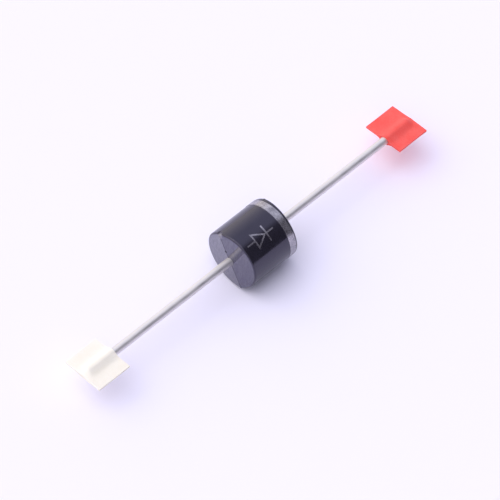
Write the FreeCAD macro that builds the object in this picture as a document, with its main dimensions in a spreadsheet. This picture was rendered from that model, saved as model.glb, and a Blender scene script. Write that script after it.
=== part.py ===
"""Moulded axial rectifier diode, as cut from its carrier tape. Millimetres.

X runs along the leads, with the cathode towards +X, and Z points up. The
origin is at the middle of the moulded body, on the axis of the leads, and
the body lies on its side.
"""
import FreeCAD, Part
import math
import os
import Sketcher

# Driving sizes, each written once
SIZES = {
    # Moulded body: a cylinder whose two end faces fall away from the parting plane
    "body_dia": 9.0,
    "body_len": 8.9,
    "draft_angle": 5.0,
    "rim_radius": 0.25,
    "parting_angle": 62.0,
    # Thin ridge of resin that squeezed into the parting plane
    "flash_height": 0.02,
    "flash_thick": 0.1,
    # Scar where the runner was broken off, on the rim at the parting plane
    "gate_width": 0.9,
    "gate_depth": 0.22,
    "gate_length": 0.55,
    # Small pit in the anode end, beside the parting line
    "pit_dia": 0.36,
    "pit_depth": 0.12,
    "pit_height": 1.58,
    # Leads: round wire with a cold formed nail head that carries the die
    "lead_dia": 1.2,
    "lead_chamfer": 0.08,
    "head_dia": 4.8,
    "head_thick": 0.9,
    "neck_rise": 0.35,
    "neck_length": 0.45,
    # Die stack between the two nail heads
    "die_side": 3.1,
    "die_thick": 0.28,
    "solder_margin": 0.1,
    "solder_thick": 0.1,
    "coating_wall": 0.12,
    # Band of ink printed round the cathode end
    "ink_thick": 0.03,
    "band_margin": 0.05,
    "band_width": 1.1,
    # Carrier tape: two strips at each end, stuck together over the lead
    "tape_spacing": 52.4,
    "tape_width": 5.5,
    "tape_span": 6.5,
    "tape_thick": 0.15,
    "tape_shoulder": 1.15,
    "lead_margin": 1.0,
    "end_rise": 0.12,
    "end_radius": 2.5,
    "cathode_tape_shift": 0.3,
}

# Tolerance for picking edges by where they lie
NEAR = 1e-4
# How far a cutting outline runs past the solid it cuts
CLEAR = 1.0

X_AXIS = FreeCAD.Vector(1, 0, 0)
Y_AXIS = FreeCAD.Vector(0, 1, 0)
Z_AXIS = FreeCAD.Vector(0, 0, 1)
ORIGIN = FreeCAD.Vector(0, 0, 0)

# Numbers that stand for the origin point and the two axes of a drawing
ORIGIN_POINT = (-1, 1)
ACROSS = -1
UPRIGHT = -2

doc = FreeCAD.newDocument("axial_diode")
sheet = doc.addObject("Spreadsheet::Sheet", "sizes")
for row, (alias, number) in enumerate(SIZES.items(), start=1):
    sheet.set(f"A{row}", alias.replace("_", " "))
    sheet.set(f"B{row}", str(number))
    sheet.setAlias(f"B{row}", alias)
doc.recompute()


def size(alias):
    """The number that the sheet holds under this alias."""
    return float(getattr(sheet, alias))


def make_body(label):
    """An empty body with its own label."""
    body = doc.addObject("PartDesign::Body", label)
    body.Label = label
    return body


def origin_plane(body, role):
    """One of the body's own origin planes or axes."""
    return next(item for item in body.Origin.OriginFeatures if item.Role == role)


def sketch_on(body, name, role, offset=None):
    """A sketch on an origin plane, moved along the plane's normal by an expression."""
    sketch = body.newObject("Sketcher::SketchObject", name)
    sketch.AttachmentSupport = (origin_plane(body, role), [""])
    sketch.MapMode = "FlatFace"
    if offset is not None:
        sketch.setExpression("AttachmentOffset.Base.z", offset)
    return sketch


def place_point(sketch, point, across, up):
    """Hold a sketch point at two expressions, on an axis where one is zero, or free at None."""
    now = sketch.getPoint(*point)
    rules = (("DistanceX", UPRIGHT, across, now.x), ("DistanceY", ACROSS, up, now.y))
    for kind, axis, expression, value in rules:
        if expression is None:
            continue
        if expression == "0":
            sketch.addConstraint(Sketcher.Constraint("PointOnObject", *point, axis))
            continue
        rule = Sketcher.Constraint(kind, *ORIGIN_POINT, *point, value)
        index = sketch.addConstraint(rule)
        sketch.setExpression(f"Constraints[{index}]", expression)


def join_ends(sketch, count, first=0):
    """Close a chain of edges, end to start."""
    for step in range(count):
        here = first + step
        after = first + (step + 1) % count
        sketch.addConstraint(Sketcher.Constraint("Coincident", here, 2, after, 1))


def draw_outline(sketch, corners):
    """A closed outline of straight edges, its corners held at pairs of expressions."""
    count = len(corners)
    first = sketch.GeometryCount
    turn = 2 * math.pi / count
    start = [FreeCAD.Vector(math.cos(turn * i), math.sin(turn * i), 0) for i in range(count)]
    for step in range(count):
        edge = Part.LineSegment(start[step], start[(step + 1) % count])
        sketch.addGeometry(edge, False)
    join_ends(sketch, count, first)
    for step, (across, up) in enumerate(corners):
        place_point(sketch, (first + step, 1), across, up)


def draw_circle(sketch, diameter, across="0", up="0"):
    """A circle of a given diameter, with its centre held at two expressions."""
    index = sketch.addGeometry(Part.Circle(ORIGIN, Z_AXIS, 1.0), False)
    place_point(sketch, (index, 3), across, up)
    rule = sketch.addConstraint(Sketcher.Constraint("Diameter", index, 2.0))
    sketch.setExpression(f"Constraints[{rule}]", diameter)


def pad(body, sketch, name, length, symmetric=False):
    """Raise a sketch into the body by a length given as an expression."""
    feature = body.newObject("PartDesign::Pad", name)
    feature.Profile = sketch
    feature.SideType = "Symmetric" if symmetric else "One side"
    feature.setExpression("Length", length)
    return feature


def pocket(body, sketch, name, length, symmetric=False, reverse=False):
    """Cut a sketch out of the body by a length given as an expression."""
    before = body.Tip
    feature = body.newObject("PartDesign::Pocket", name)
    feature.Profile = sketch
    feature.SideType = "Symmetric" if symmetric else "One side"
    feature.Reversed = reverse
    feature.setExpression("Length", length)
    check_cut(before, feature)
    return feature


def check_cut(before, feature):
    """Stop if a cut took nothing away."""
    doc.recompute()
    if feature.Shape.isNull() or feature.Shape.Volume >= before.Shape.Volume:
        raise RuntimeError(f"{feature.Label} cut nothing")


def turn_profile(body, sketch, kind, name):
    """Turn a sketch fully round the X axis, as a Revolution or a Groove."""
    before = body.Tip
    feature = body.newObject(f"PartDesign::{kind}", name)
    feature.Profile = sketch
    feature.ReferenceAxis = (origin_plane(body, "X_Axis"), [""])
    feature.Angle = 360.0
    if kind == "Groove":
        check_cut(before, feature)
    return feature


def rim_edges(shape):
    """Names of the curved edges where the end faces meet the round side."""
    names = []
    radius = size("body_dia") / 2
    for number, edge in enumerate(shape.Edges, start=1):
        middle = edge.valueAt((edge.FirstParameter + edge.LastParameter) / 2)
        places = [vertex.Point for vertex in edge.Vertexes] + [middle]
        on_side = all(abs(math.hypot(place.y, place.z) - radius) < NEAR for place in places)
        near_end = abs(middle.x) > size("body_len") / 4
        if on_side and near_end and not isinstance(edge.Curve, Part.Line):
            names.append(f"Edge{number}")
    return names


# Expressions that several pieces share
STACK_HALF = "sizes.die_thick / 2 + sizes.solder_thick"
HEAD_BACK = f"{STACK_HALF} + sizes.head_thick"
NECK_END = f"{HEAD_BACK} + sizes.neck_length"
LEAD_END = "sizes.tape_spacing / 2 + sizes.tape_width - sizes.lead_margin"
LEAD_RADIUS = "sizes.lead_dia / 2"
HEAD_RADIUS = "sizes.head_dia / 2"
NECK_RADIUS = f"{LEAD_RADIUS} + sizes.neck_rise"
SOLDER_DIA = "(sizes.die_side - 2 * sizes.solder_margin)"
# The coating covers the corners of the square die
COATING_DIA = "(sizes.die_side * sqrt(2) + 2 * sizes.coating_wall)"
COATING_RADIUS = f"{COATING_DIA} / 2"
BODY_RADIUS = "sizes.body_dia / 2"
BODY_HALF = "sizes.body_len / 2"
DRAFT_INSET = f"{BODY_RADIUS} * tan(sizes.draft_angle * 1 deg)"
# How far from the middle the round side is free of the draft and the rounded rim all round
SIDE_HALF = f"({BODY_HALF} - {DRAFT_INSET} - sizes.rim_radius)"
BAND_START = f"({SIDE_HALF} - sizes.band_margin - sizes.band_width)"


def wedge_corners(along, up):
    """The wedge between a square end and the drafted end, in one quarter of the side view."""
    return [
        (f"{along}({BODY_HALF})", "0"),
        (f"{along}({BODY_HALF} + {CLEAR})", "0"),
        (f"{along}({BODY_HALF} + {CLEAR})", f"{up}({BODY_RADIUS})"),
        (f"{along}({BODY_HALF} - {DRAFT_INSET})", f"{up}({BODY_RADIUS})"),
    ]


def flash_corners():
    """The outline of the moulded body in its parting plane, one flash height larger."""
    half = f"({BODY_HALF} + sizes.flash_height)"
    radius = f"({BODY_RADIUS} + sizes.flash_height)"
    corner = "sizes.rim_radius * (2 - sqrt(2))"
    return [
        (f"-{half}", f"-({radius} - {corner})"),
        (f"-({half} - {corner})", f"-{radius}"),
        (f"{half} - {corner}", f"-{radius}"),
        (half, f"-({radius} - {corner})"),
        (half, f"{radius} - {corner}"),
        (f"{half} - {corner}", radius),
        (f"-({half} - {corner})", radius),
        (f"-{half}", f"{radius} - {corner}"),
    ]


def cavity_corners():
    """Half section of everything that the resin is moulded around."""
    return [
        (f"-({BODY_HALF} + {CLEAR})", "0"),
        (f"-({BODY_HALF} + {CLEAR})", LEAD_RADIUS),
        (f"-({NECK_END})", LEAD_RADIUS),
        (f"-({HEAD_BACK})", NECK_RADIUS),
        (f"-({HEAD_BACK})", HEAD_RADIUS),
        (f"-({STACK_HALF})", HEAD_RADIUS),
        (f"-({STACK_HALF})", COATING_RADIUS),
        (STACK_HALF, COATING_RADIUS),
        (STACK_HALF, HEAD_RADIUS),
        (HEAD_BACK, HEAD_RADIUS),
        (HEAD_BACK, NECK_RADIUS),
        (NECK_END, LEAD_RADIUS),
        (f"{BODY_HALF} + {CLEAR}", LEAD_RADIUS),
        (f"{BODY_HALF} + {CLEAR}", "0"),
    ]


def moulded_body():
    """The resin cylinder, with its draft, parting flash, gate scar and cavity.

    It is made with the parting plane level and then turned about the leads.
    """
    body = make_body("moulded_body")
    round_side = sketch_on(body, "round_side", "YZ_Plane")
    draw_circle(round_side, "sizes.body_dia")
    pad(body, round_side, "blank", "sizes.body_len", symmetric=True)
    doc.recompute()

    ends = sketch_on(body, "end_draft", "XZ_Plane")
    for along in ("", "-"):
        for up in ("", "-"):
            draw_outline(ends, wedge_corners(along, up))
    drafted = pocket(body, ends, "drafted_ends", f"sizes.body_dia + {CLEAR}", symmetric=True)

    rims = body.newObject("PartDesign::Fillet", "rims")
    rims.Base = (drafted, rim_edges(drafted.Shape))
    rims.setExpression("Radius", "sizes.rim_radius")
    doc.recompute()

    flash_outline = sketch_on(body, "flash_outline", "XY_Plane")
    draw_outline(flash_outline, flash_corners())
    pad(body, flash_outline, "flash", "sizes.flash_thick", symmetric=True)

    gate = sketch_on(body, "gate_outline", "XY_Plane")
    outer = f"{BODY_RADIUS} + {CLEAR}"
    inner = f"{BODY_RADIUS} - sizes.gate_depth"
    beyond = f"-({BODY_HALF} + {CLEAR})"
    inboard = f"-({BODY_HALF} - sizes.gate_length)"
    draw_outline(gate, [(beyond, inner), (inboard, inner), (inboard, outer), (beyond, outer)])
    pocket(body, gate, "gate_scar", "sizes.gate_width", symmetric=True)

    pit = sketch_on(body, "pit_outline", "YZ_Plane", f"-({BODY_HALF} + {CLEAR})")
    draw_circle(pit, "sizes.pit_dia", across="sizes.pit_height")
    pocket(body, pit, "pit", f"{CLEAR} + sizes.pit_depth", reverse=True)

    cavity = sketch_on(body, "cavity_section", "XY_Plane")
    draw_outline(cavity, cavity_corners())
    turn_profile(body, cavity, "Groove", "cavity")

    body.Placement = FreeCAD.Placement(ORIGIN, FreeCAD.Rotation(X_AXIS, size("parting_angle")))
    body.setExpression("Placement.Rotation.Angle", "sizes.parting_angle")
    return body


def lead(label, turn):
    """One lead: a wire with a nail head, drawn along +X and turned about Z by an angle."""
    body = make_body(label)
    section = sketch_on(body, f"{label}_section", "XY_Plane")
    tip = f"{LEAD_END} - sizes.lead_chamfer"
    corners = [
        (STACK_HALF, "0"),
        (STACK_HALF, HEAD_RADIUS),
        (HEAD_BACK, HEAD_RADIUS),
        (HEAD_BACK, NECK_RADIUS),
        (NECK_END, LEAD_RADIUS),
        (tip, LEAD_RADIUS),
        (LEAD_END, f"{LEAD_RADIUS} - sizes.lead_chamfer"),
        (LEAD_END, "0"),
    ]
    draw_outline(section, corners)
    turn_profile(body, section, "Revolution", f"{label}_turned")
    body.Placement = FreeCAD.Placement(ORIGIN, FreeCAD.Rotation(Z_AXIS, turn))
    return body


def silicon_die():
    """The square die, centred between the heads."""
    die = doc.addObject("Part::Box", "silicon_die")
    die.setExpression("Length", "sizes.die_thick")
    die.setExpression("Width", "sizes.die_side")
    die.setExpression("Height", "sizes.die_side")
    die.setExpression("Placement.Base.x", "-sizes.die_thick / 2")
    die.setExpression("Placement.Base.y", "-sizes.die_side / 2")
    die.setExpression("Placement.Base.z", "-sizes.die_side / 2")
    return die


def disc(label, diameter, thick, start):
    """A disc across the X axis, from a place on that axis."""
    item = doc.addObject("Part::Cylinder", label)
    item.setExpression("Radius", f"{diameter} / 2")
    item.setExpression("Height", thick)
    item.Placement = FreeCAD.Placement(ORIGIN, FreeCAD.Rotation(Y_AXIS, 90))
    item.setExpression("Placement.Base.x", start)
    return item


def junction_coating(die, joints):
    """Rubber cast round the die and its solder, between the two heads."""
    blank = disc("coating_blank", COATING_DIA, f"2 * ({STACK_HALF})", f"-({STACK_HALF})")
    stack = doc.addObject("Part::MultiFuse", "die_stack")
    stack.Shapes = [die, *joints]
    coating = doc.addObject("Part::Cut", "junction_coating")
    coating.Base = blank
    coating.Tool = stack
    return coating


def cathode_band(resin):
    """The printed ring near the cathode end, lying on the resin and its parting flash.

    The ring starts half way through the moulded wall, and the resin is then cut out of it.
    """
    ring = make_body("band_blank")
    circles = sketch_on(ring, "band_circles", "YZ_Plane", BAND_START)
    draw_circle(circles, "sizes.body_dia + 2 * sizes.ink_thick")
    draw_circle(circles, "(sizes.body_dia + sizes.head_dia) / 2")
    pad(ring, circles, "band_ring", "sizes.band_width")
    band = doc.addObject("Part::Cut", "cathode_band")
    band.Base = ring
    band.Tool = resin
    return band


def tape_section(body, name, offset, reach, top):
    """Section of one strip across the lead.

    The strip lies flat on its partner at both sides and rises in two slants to
    a round top. reach holds the distances from the lead axis to the strip's
    two cut edges. top holds the height and the radius of the round top, each
    as an expression and as the number that the outline starts from.
    """
    sketch = sketch_on(body, name, "YZ_Plane", offset)
    (rise_rule, rise), (radius_rule, radius) = top
    thick = size("tape_thick")
    shoulder = size("tape_shoulder")
    edge = size("tape_span") / 2
    drop = radius - rise
    lean = math.atan2(shoulder, drop) - math.acos(radius / math.hypot(shoulder, drop))

    def flat(across, up):
        return FreeCAD.Vector(across, up, 0)

    def on_top(side, extra):
        distance = radius + extra
        return flat(side * distance * math.sin(lean), distance * math.cos(lean) - drop)

    # Inner face from left to right, then the outer face back
    inner_left, inner_right = on_top(-1, 0), on_top(1, 0)
    outer_left, outer_right = on_top(-1, thick), on_top(1, thick)
    edges = [
        Part.LineSegment(flat(-edge, 0), flat(-shoulder, 0)),
        Part.LineSegment(flat(-shoulder, 0), inner_left),
        Part.Arc(inner_right, flat(0, rise), inner_left),
        Part.LineSegment(inner_right, flat(shoulder, 0)),
        Part.LineSegment(flat(shoulder, 0), flat(edge, 0)),
        Part.LineSegment(flat(edge, 0), flat(edge, thick)),
        Part.LineSegment(flat(edge, thick), flat(shoulder, thick)),
        Part.LineSegment(flat(shoulder, thick), outer_right),
        Part.Arc(outer_right, flat(0, rise + thick), outer_left),
        Part.LineSegment(outer_left, flat(-shoulder, thick)),
        Part.LineSegment(flat(-shoulder, thick), flat(-edge, thick)),
        Part.LineSegment(flat(-edge, thick), flat(-edge, 0)),
    ]
    sketch.addGeometry(edges, False)

    # Each pair of ends that meet, and whether the edges are tangent there
    meetings = [
        ("Coincident", 0, 2, 1, 1), ("Tangent", 1, 2, 2, 2), ("Tangent", 2, 1, 3, 1),
        ("Coincident", 3, 2, 4, 1), ("Coincident", 4, 2, 5, 1), ("Coincident", 5, 2, 6, 1),
        ("Coincident", 6, 2, 7, 1), ("Tangent", 7, 2, 8, 1), ("Tangent", 8, 2, 9, 1),
        ("Coincident", 9, 2, 10, 1), ("Coincident", 10, 2, 11, 1), ("Coincident", 11, 2, 0, 1),
    ]
    for meeting in meetings:
        sketch.addConstraint(Sketcher.Constraint(*meeting))
    for kind, members in (("Horizontal", (6, 10)), ("Vertical", (5, 11))):
        for member in members:
            sketch.addConstraint(Sketcher.Constraint(kind, member))
    for pair in ((1, 9), (3, 7)):
        sketch.addConstraint(Sketcher.Constraint("Parallel", *pair))

    left, right = reach
    place_point(sketch, (0, 1), f"-({left})", "0")
    place_point(sketch, (1, 1), "-sizes.tape_shoulder", "0")
    place_point(sketch, (4, 1), "sizes.tape_shoulder", "0")
    place_point(sketch, (4, 2), right, "0")
    for corner in ((6, 1), (10, 2)):
        place_point(sketch, corner, None, "sizes.tape_thick")
    centre_height = "0" if rise_rule == radius_rule else f"{rise_rule} - {radius_rule}"
    place_point(sketch, (2, 3), "0", centre_height)
    sketch.addConstraint(Sketcher.Constraint("Coincident", 8, 3, 2, 3))
    outer_rule = f"{radius_rule} + sizes.tape_thick"
    for arc, rule, value in ((2, radius_rule, radius), (8, outer_rule, radius + thick)):
        index = sketch.addConstraint(Sketcher.Constraint("Radius", arc, value))
        sketch.setExpression(f"Constraints[{index}]", rule)
    return sketch


def tape_strip(label, reach, axis, turn):
    """One strip of tape, drawn over the cathode lead and turned to its place.

    It bends over the lead as far as the lead's end, and closes down from there
    to the strip's outer edge.
    """
    strip = make_body(label)
    over_lead = ((LEAD_RADIUS, size("lead_dia") / 2),) * 2
    closed = (("sizes.end_rise", size("end_rise")), ("sizes.end_radius", size("end_radius")))
    inner_edge = "sizes.tape_spacing / 2"
    outer_edge = f"{inner_edge} + sizes.tape_width"
    first = tape_section(strip, f"{label}_inner", inner_edge, reach, over_lead)
    pad(strip, first, f"{label}_over_lead", f"{LEAD_END} - {inner_edge}")
    doc.recompute()
    second = tape_section(strip, f"{label}_lead_end", LEAD_END, reach, over_lead)
    third = tape_section(strip, f"{label}_outer", outer_edge, reach, closed)
    doc.recompute()
    closing = strip.newObject("PartDesign::AdditiveLoft", f"{label}_closing")
    closing.Profile = second
    closing.Sections = [third]
    closing.Ruled = True
    strip.Placement = FreeCAD.Placement(ORIGIN, FreeCAD.Rotation(axis, turn))
    return strip


def tape_strips():
    """The red strips at the cathode and the white ones at the anode."""
    middle = "sizes.tape_span / 2"
    long_side = f"{middle} + sizes.cathode_tape_shift"
    short_side = f"{middle} - sizes.cathode_tape_shift"
    return [
        tape_strip("red_tape_top", (short_side, long_side), X_AXIS, 0),
        tape_strip("red_tape_bottom", (long_side, short_side), X_AXIS, 180),
        tape_strip("white_tape_top", (middle, middle), Z_AXIS, 180),
        tape_strip("white_tape_bottom", (middle, middle), Y_AXIS, 180),
    ]


def build():
    """Every piece of the diode, in the order that it is put together."""
    die = silicon_die()
    joints = [
        disc("cathode_solder", SOLDER_DIA, "sizes.solder_thick", "sizes.die_thick / 2"),
        disc("anode_solder", SOLDER_DIA, "sizes.solder_thick", f"-({STACK_HALF})"),
    ]
    leads = [lead("cathode_lead", 0), lead("anode_lead", 180)]
    coating = junction_coating(die, joints)
    resin = moulded_body()
    return [die, *joints, *leads, coating, resin, cathode_band(resin), *tape_strips()]


def check(pieces):
    """Stop before anything is written if a feature failed or a piece isn't sound."""
    for item in doc.Objects:
        if "Invalid" in item.State or "Error" in item.State:
            raise RuntimeError(f"{item.Label} failed: {item.State}")
    for piece in pieces:
        if piece.Shape.isNull() or not piece.Shape.isValid() or not piece.Shape.Solids:
            raise RuntimeError(f"{piece.Label} isn't a sound solid")


parts = build()
doc.recompute()
check(parts)
os.makedirs("parts", exist_ok=True)
for part in parts:
    part.Shape.exportStep(f"parts/{part.Label}.step")
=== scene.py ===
"""Looks of a moulded axial diode that still wears the stubs of its carrier tape.

Metres, in the frame of the solids: X runs along the leads towards the cathode,
Z points up, and the moulded body lies on its side.
"""
import math

import bmesh
import bpy
from mathutils import Matrix, Vector, noise


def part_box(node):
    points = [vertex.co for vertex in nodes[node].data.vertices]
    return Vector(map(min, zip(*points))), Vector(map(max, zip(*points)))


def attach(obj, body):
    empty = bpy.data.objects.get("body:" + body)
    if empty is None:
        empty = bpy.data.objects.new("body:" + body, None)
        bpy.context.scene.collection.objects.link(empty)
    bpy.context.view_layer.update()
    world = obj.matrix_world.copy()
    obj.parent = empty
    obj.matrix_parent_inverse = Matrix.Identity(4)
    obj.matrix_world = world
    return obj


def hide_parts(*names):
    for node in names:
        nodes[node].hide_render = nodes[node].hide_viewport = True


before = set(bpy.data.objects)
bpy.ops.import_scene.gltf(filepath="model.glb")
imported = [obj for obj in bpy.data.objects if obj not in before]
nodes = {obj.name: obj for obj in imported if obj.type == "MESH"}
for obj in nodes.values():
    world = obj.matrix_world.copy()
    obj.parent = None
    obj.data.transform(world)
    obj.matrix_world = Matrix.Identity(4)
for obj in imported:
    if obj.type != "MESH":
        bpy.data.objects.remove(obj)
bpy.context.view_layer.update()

MM = 0.001


# Helpers for materials

def linear(hex_colour):
    """An sRGB hex colour as linear red, green and blue, with an alpha of 1."""
    parts = [int(hex_colour[place:place + 2], 16) / 255 for place in (1, 3, 5)]
    parts = [p / 12.92 if p <= 0.04045 else ((p + 0.055) / 1.055) ** 2.4 for p in parts]
    return (*parts, 1.0)


def add(tree, kind, inputs=None, **settings):
    """Add a node with its settings. Each input is a value or another node's output.

    Sockets go by name or by number. MapRange takes its value at 0, the old range at 1
    and 2, and the new one at 3 and 4. The mixes take their factor at 0, and their two
    sides at 1 and 2 for colours (MixRGB) or at 2 and 3 for numbers (Mix).
    """
    node = tree.nodes.new(f"ShaderNode{kind}")
    for name, value in settings.items():
        setattr(node, name, value)
    for socket, value in (inputs or {}).items():
        if isinstance(value, bpy.types.NodeSocket):
            tree.links.new(value, node.inputs[socket])
        else:
            node.inputs[socket].default_value = value
    return node


def new_material(name):
    """A material with a fresh node tree, and its place in millimetres."""
    material = bpy.data.materials.new(name)
    material.use_nodes = True
    tree = material.node_tree
    tree.nodes.clear()
    place = add(tree, "TexCoord").outputs["Object"]
    in_mm = add(tree, "Mapping", {"Vector": place, "Scale": (1 / MM,) * 3}).outputs[0]
    return material, tree, in_mm


def finish_material(tree, shader):
    """Join a shader to the material's output."""
    tree.links.new(shader.outputs[0], add(tree, "OutputMaterial").inputs["Surface"])


# Materials

# What the mould left on the resin, in millimetres. Each pair is the stretch of a soft change:
# from the axis of the leads, where an end passes into the round side
RIM = (4.2, 4.42)
# From the parting plane, which turns from +Y towards +Z, where its seam fades out
PARTING_TURN = math.radians(62.0)
SEAM = (0.05, 0.13)
# From the middle of the gate's scar, where the scar ends, and from the axis, where its
# notch comes up to the round side
GATE_SCAR = (-4.2, 2.04, 3.84)
GATE_SCAR_REACH = (0.88, 1.0)
GATE_NOTCH = (4.4, 4.47)


def moulded_epoxy():
    """Black epoxy moulding compound, glossy from a polished mould.

    The round side is nearly black. The two drafted ends are painted paler and more
    lavender, a painted reflection of the lit floor, with real soft flow marks under a
    skin that mirrors what is near. The parting line is a thin dull seam, and the scar
    of the gate is grey and rough.
    """
    material, tree, place = new_material("moulded_black_epoxy")
    axes = add(tree, "SeparateXYZ", {0: place}).outputs
    # Distance from the axis of the leads, which tells the end faces from the round side
    square = add(tree, "Math", {0: axes["Y"], 1: axes["Y"]}, operation="MULTIPLY").outputs[0]
    square = add(tree, "Math", {0: axes["Z"], 1: axes["Z"], 2: square},
                 operation="MULTIPLY_ADD").outputs[0]
    reach = add(tree, "Math", {0: square}, operation="SQRT").outputs[0]
    on_side = add(tree, "MapRange", {0: reach, 1: RIM[0], 2: RIM[1]},
                  interpolation_type="SMOOTHSTEP").outputs[0]
    # Distance from the parting plane
    normal = (0, -math.sin(PARTING_TURN), math.cos(PARTING_TURN))
    apart = add(tree, "VectorMath", {0: place, 1: normal}, operation="DOT_PRODUCT").outputs["Value"]
    apart = add(tree, "Math", {0: apart}, operation="ABSOLUTE").outputs[0]
    seam = add(tree, "MapRange", {0: apart, 1: SEAM[0], 2: SEAM[1], 3: 1.0, 4: 0.0},
               interpolation_type="SMOOTHSTEP").outputs[0]

    # Compound that flowed unevenly: clouds about 2 mm across, stretched along the mould
    stretched = add(tree, "Mapping", {"Vector": place, "Scale": (0.35, 0.5, 0.9)}).outputs[0]
    clouds = add(tree, "TexNoise", {"Vector": stretched, "Scale": 1.0, "Detail": 4.0,
                                    "Roughness": 0.55, "Distortion": 0.8}).outputs["Fac"]
    # Silica filler at the surface: grains of about 0.1 mm, drawn coarse so that they show
    grains = add(tree, "TexNoise", {"Vector": place, "Scale": 9.0, "Detail": 3.0}).outputs["Fac"]

    # Flow marks on the ends: soft streaks about 0.6 mm apart
    marks = add(tree, "Mapping", {"Vector": place, "Scale": (0.5, 1.6, 0.7)}).outputs[0]
    marks = add(tree, "TexNoise", {"Vector": marks, "Scale": 1.1, "Detail": 6.0,
                                   "Roughness": 0.6, "Distortion": 1.6}).outputs["Fac"]
    marks = add(tree, "MapRange", {0: marks, 1: 0.32, 2: 0.68}).outputs[0]

    side = add(tree, "MixRGB", {0: clouds, 1: linear("#131218"), 2: linear("#211f29")}).outputs[0]
    # The ends' paler, lavender colour is a painted reflection of the lit floor; the flow marks in it
    # are real
    end = add(tree, "MixRGB", {0: marks, 1: linear("#191832"), 2: linear("#302e4a")}).outputs[0]
    colour = add(tree, "MixRGB", {0: on_side, 1: end, 2: side}).outputs[0]
    faint = add(tree, "Math", {0: seam, 1: 0.35}, operation="MULTIPLY").outputs[0]
    colour = add(tree, "MixRGB", {0: faint, 1: colour, 2: linear("#5b5863")}).outputs[0]

    # The scar where the gate broke off: grey and rough, only down in its notch on the anode rim
    scar = add(tree, "VectorMath", {0: place, 1: GATE_SCAR}, operation="DISTANCE").outputs["Value"]
    scar = add(tree, "Math", {0: grains, 1: 0.7, 2: scar}, operation="MULTIPLY_ADD").outputs[0]
    scar = add(tree, "MapRange", {
        0: scar, 1: GATE_SCAR_REACH[0], 2: GATE_SCAR_REACH[1], 3: 1.0, 4: 0.0,
    }).outputs[0]
    sunk = add(tree, "MapRange", {
        0: reach, 1: GATE_NOTCH[0], 2: GATE_NOTCH[1], 3: 1.0, 4: 0.0,
    }).outputs[0]
    scar = add(tree, "Math", {0: scar, 1: sunk}, operation="MULTIPLY").outputs[0]
    colour = add(tree, "MixRGB", {0: scar, 1: colour, 2: linear("#77747e")}).outputs[0]

    dull = add(tree, "MapRange", {0: clouds, 1: 0.3, 2: 0.7, 3: 0.13, 4: 0.22}).outputs[0]
    shine = add(tree, "Mix", {0: on_side, 2: 0.03, 3: dull}).outputs[0]
    shine = add(tree, "Math", {0: seam, 1: 0.15, 2: shine}, operation="MULTIPLY_ADD").outputs[0]
    shine = add(tree, "Mix", {0: scar, 2: shine, 3: 0.8}).outputs[0]
    # A resin-rich skin on the two ends, which mirrors the floor and the lead
    uneven = add(tree, "MapRange", {0: marks, 3: 1.0, 4: 0.5}).outputs[0]
    skin = add(tree, "Mix", {0: on_side, 2: uneven, 3: 0.12}).outputs[0]
    # The grains hardly show through the skin
    relief = add(tree, "Mix", {0: on_side, 2: 0.25, 3: 1.0}).outputs[0]
    relief = add(tree, "Math", {0: relief, 1: grains}, operation="MULTIPLY").outputs[0]
    bump = add(tree, "Bump", {"Strength": 0.2, "Distance": 0.02 * MM, "Height": relief})
    surface = add(tree, "BsdfPrincipled", {
        "Base Color": colour, "Roughness": shine, "IOR": 1.65, "Normal": bump.outputs[0],
        # The lavender tint on the reflections is painted light, standing in for the lavender light they
        # mirror
        "Specular Tint": linear("#e2dcff"), "Coat Weight": skin, "Coat Roughness": 0.03,
        "Coat IOR": 1.75,
    })
    finish_material(tree, surface)
    return material


def printing_ink():
    """Pad printed silver ink: fine metal flakes, mottled, with pinholes down to the resin."""
    material, tree, place = new_material("pad_printed_silver_ink")
    # Uneven cover about 1 mm across, and pinholes of about 0.15 mm, drawn coarse to show
    cover = add(tree, "TexNoise", {"Vector": place, "Scale": 1.1, "Detail": 5.0}).outputs["Fac"]
    pinholes = add(tree, "TexNoise", {"Vector": place, "Scale": 6.5, "Detail": 2.0}).outputs["Fac"]
    bare = add(tree, "MapRange", {0: pinholes, 1: 0.62, 2: 0.72}).outputs[0]
    cover = add(tree, "MapRange", {0: cover, 1: 0.35, 2: 0.65}).outputs[0]
    ink = add(tree, "MixRGB", {0: cover, 1: linear("#908d94"), 2: linear("#b8b5bb")}).outputs[0]
    colour = add(tree, "MixRGB", {0: bare, 1: ink, 2: linear("#2b2a30")}).outputs[0]
    surface = add(tree, "BsdfPrincipled", {
        "Base Color": colour, "Metallic": 0.9, "Roughness": 0.26,
    })
    finish_material(tree, surface)
    return material


def tinned_wire():
    """Drawn copper wire with tin plating: a soft shine, long fine streaks and duller clouds."""
    material, tree, place = new_material("drawn_tinned_copper_wire")
    # Die lines along the wire, about 0.1 mm apart
    lengthways = add(tree, "Mapping", {"Vector": place, "Scale": (0.12, 1.0, 1.0)}).outputs[0]
    lines = add(tree, "TexNoise", {"Vector": lengthways, "Scale": 7.0, "Detail": 3.0}).outputs["Fac"]
    clouds = add(tree, "TexNoise", {"Vector": place, "Scale": 0.8, "Detail": 3.0}).outputs["Fac"]
    colour = add(tree, "MixRGB", {0: clouds, 1: linear("#d9d6d4"), 2: linear("#e7e4e1")}).outputs[0]
    shine = add(tree, "MapRange", {0: clouds, 1: 0.3, 2: 0.7, 3: 0.46, 4: 0.6}).outputs[0]
    bump = add(tree, "Bump", {"Strength": 0.2, "Distance": 0.01 * MM, "Height": lines})
    surface = add(tree, "BsdfPrincipled", {
        "Base Color": colour, "Metallic": 1.0, "Roughness": shine, "Normal": bump.outputs[0],
    })
    finish_material(tree, surface)
    return material


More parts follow.
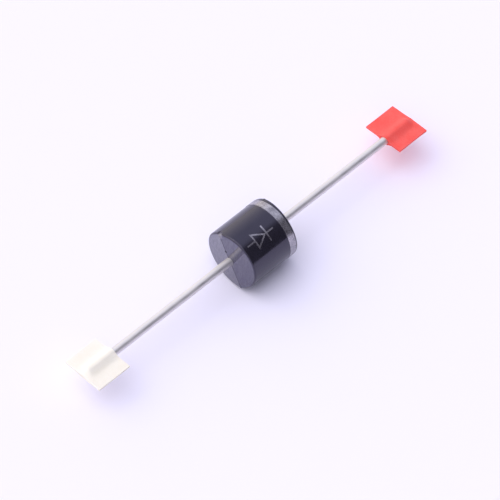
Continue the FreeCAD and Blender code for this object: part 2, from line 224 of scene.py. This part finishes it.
def paper_tape(name, pale, deep, glow):
    """Dyed carrier tape of smooth paper: matte, with short fibres, and light comes through."""
    material, tree, place = new_material(name)
    clouds = add(tree, "TexNoise", {"Vector": place, "Scale": 0.55, "Detail": 4.0}).outputs["Fac"]
    # Fibres of about 0.1 mm, longer along the tape
    drawn = add(tree, "Mapping", {"Vector": place, "Scale": (1.0, 0.35, 1.0)}).outputs[0]
    fibres = add(tree, "TexNoise", {"Vector": drawn, "Scale": 8.0, "Detail": 4.0}).outputs["Fac"]
    mottle = add(tree, "Math", {0: clouds, 1: fibres}, operation="ADD").outputs[0]
    mottle = add(tree, "MapRange", {0: mottle, 1: 0.75, 2: 1.25}).outputs[0]
    colour = add(tree, "MixRGB", {0: mottle, 1: linear(deep), 2: linear(pale)}).outputs[0]
    bump = add(tree, "Bump", {"Strength": 0.25, "Distance": 0.02 * MM, "Height": fibres})
    surface = add(tree, "BsdfPrincipled", {
        "Base Color": colour, "Roughness": 0.55, "IOR": 1.45, "Normal": bump.outputs[0],
        "Subsurface Weight": 0.35, "Subsurface Radius": glow, "Subsurface Scale": 0.5 * MM,
    })
    finish_material(tree, surface)
    return material


def plain_inside(name, pale, deep, shine, metallic=0.0):
    """A finish for a piece sealed inside the resin, mottled about 0.5 mm apart."""
    material, tree, place = new_material(name)
    mottle = add(tree, "TexNoise", {"Vector": place, "Scale": 2.0, "Detail": 3.0}).outputs["Fac"]
    colour = add(tree, "MixRGB", {0: mottle, 1: linear(deep), 2: linear(pale)}).outputs[0]
    surface = add(tree, "BsdfPrincipled", {
        "Base Color": colour, "Metallic": metallic, "Roughness": shine,
    })
    finish_material(tree, surface)
    return material


epoxy = moulded_epoxy()
ink = printing_ink()
wire = tinned_wire()
red_paper = paper_tape("red_paper_tape", "#ff635c", "#fb5149", (1.0, 0.2, 0.15))
white_paper = paper_tape("white_paper_tape", "#fdf6e7", "#f9f1df", (1.0, 0.9, 0.8))
soft_solder = plain_inside("reflowed_leaded_solder", "#a9a9ad", "#8d8d92", 0.4, metallic=1.0)
polished_silicon = plain_inside("lapped_silicon", "#5d626e", "#4b505c", 0.2)
clear_rubber = plain_inside("cast_silicone_rubber", "#dcdcd8", "#cbcbc6", 0.35)


# Solids that keep their shape and get their finish here

FINISHES = {
    "moulded_body": epoxy,
    "cathode_band": ink,
    "cathode_lead": wire,
    "anode_lead": wire,
    "silicon_die": polished_silicon,
    "cathode_solder": soft_solder,
    "anode_solder": soft_solder,
    "junction_coating": clear_rubber,
    "red_tape_top": red_paper,
    "red_tape_bottom": red_paper,
    "white_tape_top": white_paper,
    "white_tape_bottom": white_paper,
}
for name, finish in FINISHES.items():
    slots = nodes[name].data.materials
    if not slots:
        slots.append(finish)
    for number in range(len(slots)):
        slots[number] = finish


# Pieces

# Edges that turn more than this stay sharp
SHARP_TURN = math.radians(40)


def finished_piece(name, mesh, material):
    """Turn a bmesh into a smooth shaded piece that rides on the diode."""
    bmesh.ops.recalc_face_normals(mesh, faces=mesh.faces)
    for face in mesh.faces:
        face.smooth = True
    for edge in mesh.edges:
        edge.smooth = len(edge.link_faces) == 2 and edge.calc_face_angle() < SHARP_TURN
    data = bpy.data.meshes.new(name)
    mesh.to_mesh(data)
    mesh.free()
    data.materials.append(material)
    piece = bpy.data.objects.new(name, data)
    bpy.context.scene.collection.objects.link(piece)
    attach(piece, "root")
    return piece


# Tapes: distances along the leads from the body's middle, and across them from the axis
LEAD_RADIUS = 0.6 * MM
LEAD_END = 30.7 * MM
TAPE_INNER_EDGE = 26.2 * MM
TAPE_OUTER_EDGE = 31.7 * MM
TAPE_THICK = 0.15 * MM
# The strips of a pair meet here, in a bend this soft
TAPE_SHOULDER = 1.15 * MM
TAPE_SOFTNESS = 0.1 * MM
# Each strip stays this far inside its solid's outline
TAPE_TRIM = 0.01 * MM
# How far before the lead's end the strips begin to close, and how far they part at the edge
CLOSING_MARGIN = 0.15 * MM
CLOSED_RISE = 0.12 * MM
WAVE_HEIGHT = 0.06 * MM
WAVES_PER_MM = 0.32
# The glue's gap to the lead and the strips, its place behind the tape's edge, and its depth
GLUE_GAP = 0.01 * MM
GLUE_SETBACK = 0.06 * MM
GLUE_DEPTH = 0.4 * MM


def tent_height(across, radius):
    """Height of a strip's inner face above the middle plane, at a distance across the lead.

    It is round over the lead's radius, and then falls straight to the shoulder.
    """
    across = abs(across)
    lean = math.acos(radius / TAPE_SHOULDER)
    touch = radius * math.cos(lean)
    if across < touch:
        return math.sqrt(radius * radius - across * across)
    slope = radius * math.sin(lean) / (TAPE_SHOULDER - touch)
    return TAPE_SOFTNESS * math.log1p(math.exp((TAPE_SHOULDER - across) * slope / TAPE_SOFTNESS))


def tape_strip(node, name, end, face, material, seed):
    """One strip, bent softly over the lead, stuck flat beside it and closed beyond its end.

    end is +1 at the cathode and -1 at the anode. face is +1 for the upper
    strip and -1 for the lower one. Both strips of a pair share their waviness.
    """
    low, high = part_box(node)
    width = high.x - low.x
    span = high.y - low.y
    mesh = bmesh.new()
    bmesh.ops.create_grid(mesh, x_segments=44, y_segments=52, size=0.5)
    for vert in mesh.verts:
        along = TAPE_INNER_EDGE + width / 2 + vert.co.x * (width - 2 * TAPE_TRIM)
        across = low.y + span / 2 + vert.co.y * (span - 2 * TAPE_TRIM)
        closing = (along - LEAD_END + CLOSING_MARGIN) / (TAPE_OUTER_EDGE - LEAD_END)
        closing = min(max(closing, 0.0), 1.0)
        closing = closing * closing * (3 - 2 * closing)
        rise = LEAD_RADIUS * (1 - closing) + CLOSED_RISE * closing
        beside = min(abs(across) / TAPE_SHOULDER, 1.0) ** 2
        spot = Vector((along / MM * WAVES_PER_MM, across / MM * WAVES_PER_MM, seed))
        height = face * tent_height(across, rise) + noise.noise(spot) * beside * WAVE_HEIGHT
        vert.co = Vector((end * along, across, height))
    bmesh.ops.recalc_face_normals(mesh, faces=mesh.faces)
    upwards = sum(f.normal.z for f in mesh.faces) > 0
    if upwards != (face > 0):
        bmesh.ops.reverse_faces(mesh, faces=mesh.faces)
    bmesh.ops.solidify(mesh, geom=mesh.faces[:], thickness=-TAPE_THICK)
    piece = finished_piece(name, mesh, material)
    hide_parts(node)


def glue_bead(name, end, side, material):
    """Adhesive pressed into the gap beside the lead, where the two strips part to let it in."""
    mesh = bmesh.new()
    bmesh.ops.create_grid(mesh, x_segments=10, y_segments=4, size=0.5)
    for vert in mesh.verts:
        across = LEAD_RADIUS + GLUE_GAP + (vert.co.x + 0.5) * (TAPE_SHOULDER - LEAD_RADIUS)
        room = tent_height(across, LEAD_RADIUS) - GLUE_GAP
        along = TAPE_INNER_EDGE + GLUE_SETBACK
        vert.co = Vector((end * along, side * across, 2 * vert.co.y * room))
    bmesh.ops.recalc_face_normals(mesh, faces=mesh.faces)
    inwards = sum(f.normal.x for f in mesh.faces) * end < 0
    if not inwards:
        bmesh.ops.reverse_faces(mesh, faces=mesh.faces)
    bmesh.ops.solidify(mesh, geom=mesh.faces[:], thickness=GLUE_DEPTH)
    finished_piece(name, mesh, material)


tape_strip("red_tape_top", "red_strip_upper", 1, 1, red_paper, 2.3)
tape_strip("red_tape_bottom", "red_strip_lower", 1, -1, red_paper, 2.3)
tape_strip("white_tape_top", "white_strip_upper", -1, 1, white_paper, 7.9)
tape_strip("white_tape_bottom", "white_strip_lower", -1, -1, white_paper, 7.9)

glue_bead("red_glue_front", 1, -1, red_paper)
glue_bead("red_glue_back", 1, 1, red_paper)
glue_bead("white_glue_front", -1, -1, white_paper)
glue_bead("white_glue_back", -1, 1, white_paper)


# Printed symbol: an outline arrow between two leads that points at the bar on the cathode
# side. Its middle line lies on the round side, at an angle from +Y towards +Z

BODY_RADIUS = 4.5 * MM
INK_LIFT = 0.004 * MM
INK_THICK = 0.02 * MM
SYMBOL_ANGLE = math.radians(120)
SYMBOL_START = -3.3 * MM
SYMBOL_END = 1.5 * MM
ARROW_BACK = -1.95 * MM
ARROW_LENGTH = 2.1 * MM
ARROW_HEIGHT = 2.5 * MM
STROKE = 0.22 * MM


def printed_symbol():
    """The symbol, drawn flat, cut into short pieces and laid round the resin."""
    mesh = bmesh.new()
    tip = ARROW_BACK + ARROW_LENGTH
    bars = [
        (SYMBOL_START, ARROW_BACK, STROKE),
        (tip, tip + STROKE, ARROW_HEIGHT),
        (tip + STROKE, SYMBOL_END, STROKE),
    ]
    for start, end, height in bars:
        middle = Matrix.Translation(((start + end) / 2, 0, 0))
        stretch = Matrix.Diagonal((end - start, height, 1, 1))
        bmesh.ops.create_grid(mesh, x_segments=1, y_segments=1, size=0.5, matrix=middle @ stretch)
    # A circle of three points is the arrow, scaled from its own 1.5 by 1.732
    stretch = Matrix.Diagonal((ARROW_LENGTH / 1.5, ARROW_HEIGHT / math.sqrt(3), 1, 1))
    place = Matrix.Translation((ARROW_BACK + ARROW_LENGTH / 3, 0, 0)) @ stretch
    quarter = Matrix.Rotation(-math.pi / 2, 4, "Z")
    arrow = bmesh.ops.create_circle(mesh, cap_ends=True, segments=3, radius=1.0,
                                    matrix=place @ quarter)
    face = arrow["verts"][0].link_faces[0]
    bmesh.ops.inset_region(mesh, faces=[face], thickness=STROKE, use_even_offset=True,
                           use_boundary=True)
    bmesh.ops.delete(mesh, geom=[face], context="FACES")
    bmesh.ops.subdivide_edges(mesh, edges=mesh.edges[:], cuts=7, use_grid_fill=True)
    for vert in mesh.verts:
        turn = SYMBOL_ANGLE + vert.co.y / BODY_RADIUS
        reach = BODY_RADIUS + INK_LIFT
        vert.co = Vector((vert.co.x, reach * math.cos(turn), reach * math.sin(turn)))
    for face in mesh.faces:
        face.normal_update()
        middle = face.calc_center_median()
        if face.normal.dot(Vector((0, middle.y, middle.z))) < 0:
            face.normal_flip()
    bmesh.ops.solidify(mesh, geom=mesh.faces[:], thickness=-INK_THICK)
    finished_piece("printed_symbol", mesh, ink)


printed_symbol()


# Floor, light and camera

FLOOR_HEIGHT = -4.53 * MM
FLOOR_SIZE = 3.0
# From the diode towards the dark opening of the light tent
OPENING = Vector((0.30, -0.83, 0.47)).normalized()
# Strength of the tent's light at the floor and overhead, and what the wall behind adds
LOW_LIGHT = 0.73
HIGH_LIGHT = 1.1
WALL_LIGHT = 0.66
# Name, direction from the diode, strength, and spread in degrees
SOFTBOXES = [
    ("softbox_behind", (-0.31, 0.54, 0.78), 0.4, 45),
    ("softbox_above", (-0.26, 0.05, 0.96), 0.7, 56),
    ("softbox_left", (-0.72, -0.42, 0.55), 0.26, 60),
]
# The camera's angles, its distance, and its shift to the right and upwards in millimetres
AZIMUTH = math.radians(-45.389)
ELEVATION = math.radians(50.45)
DISTANCE = 0.376
OFFSET_RIGHT = -0.398
OFFSET_UP = -0.91


def floor_plane():
    """Plain matte paper, so pale a lavender that it looks white in full light."""
    material, tree, _ = new_material("pale_paper_floor")
    surface = add(tree, "BsdfDiffuse", {"Color": linear("#eeecfc")})
    finish_material(tree, surface)
    mesh = bmesh.new()
    bmesh.ops.create_grid(mesh, x_segments=1, y_segments=1, size=FLOOR_SIZE,
                          matrix=Matrix.Translation((0, 0, FLOOR_HEIGHT)))
    data = bpy.data.meshes.new("floor")
    mesh.to_mesh(data)
    mesh.free()
    data.materials.append(material)
    floor = bpy.data.objects.new("floor", data)
    bpy.context.scene.collection.objects.link(floor)


def sky():
    """Soft light from all round, as in a light tent that is brightest above and behind.

    The round side mirrors the dark opening in front, which makes its dark streak.
    """
    world = bpy.data.worlds.new("studio")
    world.use_nodes = True
    tree = world.node_tree
    tree.nodes.clear()
    outwards = add(tree, "TexCoord").outputs["Generated"]
    front = add(tree, "VectorMath", {0: outwards, 1: OPENING}, operation="DOT_PRODUCT").outputs["Value"]
    # Stronger, slightly warm light from the wall behind and cooler light from above
    behind = add(tree, "MapRange", {0: front, 1: 0.2, 2: -0.6}).outputs[0]
    colour = add(tree, "MixRGB", {0: behind, 1: linear("#e6e9ff"), 2: linear("#fdf6f1")}).outputs[0]
    dark = add(tree, "MapRange", {0: front, 1: 0.66, 2: 0.88},
               interpolation_type="SMOOTHSTEP").outputs[0]
    colour = add(tree, "MixRGB", {0: dark, 1: colour, 2: linear("#66646f")}).outputs[0]
    height = add(tree, "SeparateXYZ", {0: outwards}).outputs["Z"]
    level = add(tree, "MapRange", {0: height, 3: LOW_LIGHT, 4: HIGH_LIGHT}).outputs[0]
    level = add(tree, "Math", {0: behind, 1: WALL_LIGHT, 2: level},
                operation="MULTIPLY_ADD").outputs[0]
    light = add(tree, "Background", {"Color": colour, "Strength": level})
    tree.links.new(light.outputs[0], add(tree, "OutputWorld").inputs["Surface"])
    bpy.context.scene.world = world


def softbox(name, towards, energy, spread):
    """A broad lamp, seen from the diode in a direction and over a spread in degrees."""
    lamp = bpy.data.lights.new(name, "SUN")
    lamp.energy = energy
    lamp.angle = math.radians(spread)
    lamp.color = linear("#fff8f2")[:3]
    box = bpy.data.objects.new(name, lamp)
    box.rotation_euler = Vector(towards).to_track_quat("Z", "Y").to_euler()
    bpy.context.scene.collection.objects.link(box)


def photo_camera():
    """A long lens at the photograph's viewing angle."""
    back = Vector((
        math.cos(ELEVATION) * math.sin(AZIMUTH),
        -math.cos(ELEVATION) * math.cos(AZIMUTH),
        math.sin(ELEVATION),
    ))
    right = Vector((math.cos(AZIMUTH), math.sin(AZIMUTH), 0))
    up = back.cross(right)
    lens = bpy.data.cameras.new("camera")
    lens.sensor_width = 36.0
    lens.lens = 199.8
    lens.clip_start = 0.01
    lens.clip_end = 20.0
    camera = bpy.data.objects.new("camera", lens)
    camera.location = (right * OFFSET_RIGHT + up * OFFSET_UP) * MM + back * DISTANCE
    camera.rotation_euler = back.to_track_quat("Z", "Y").to_euler()
    bpy.context.scene.collection.objects.link(camera)
    bpy.context.scene.camera = camera


floor_plane()
sky()
for box_name, towards, energy, spread in SOFTBOXES:
    softbox(box_name, towards, energy, spread)
photo_camera()
bpy.context.scene.view_settings.view_transform = "Standard"
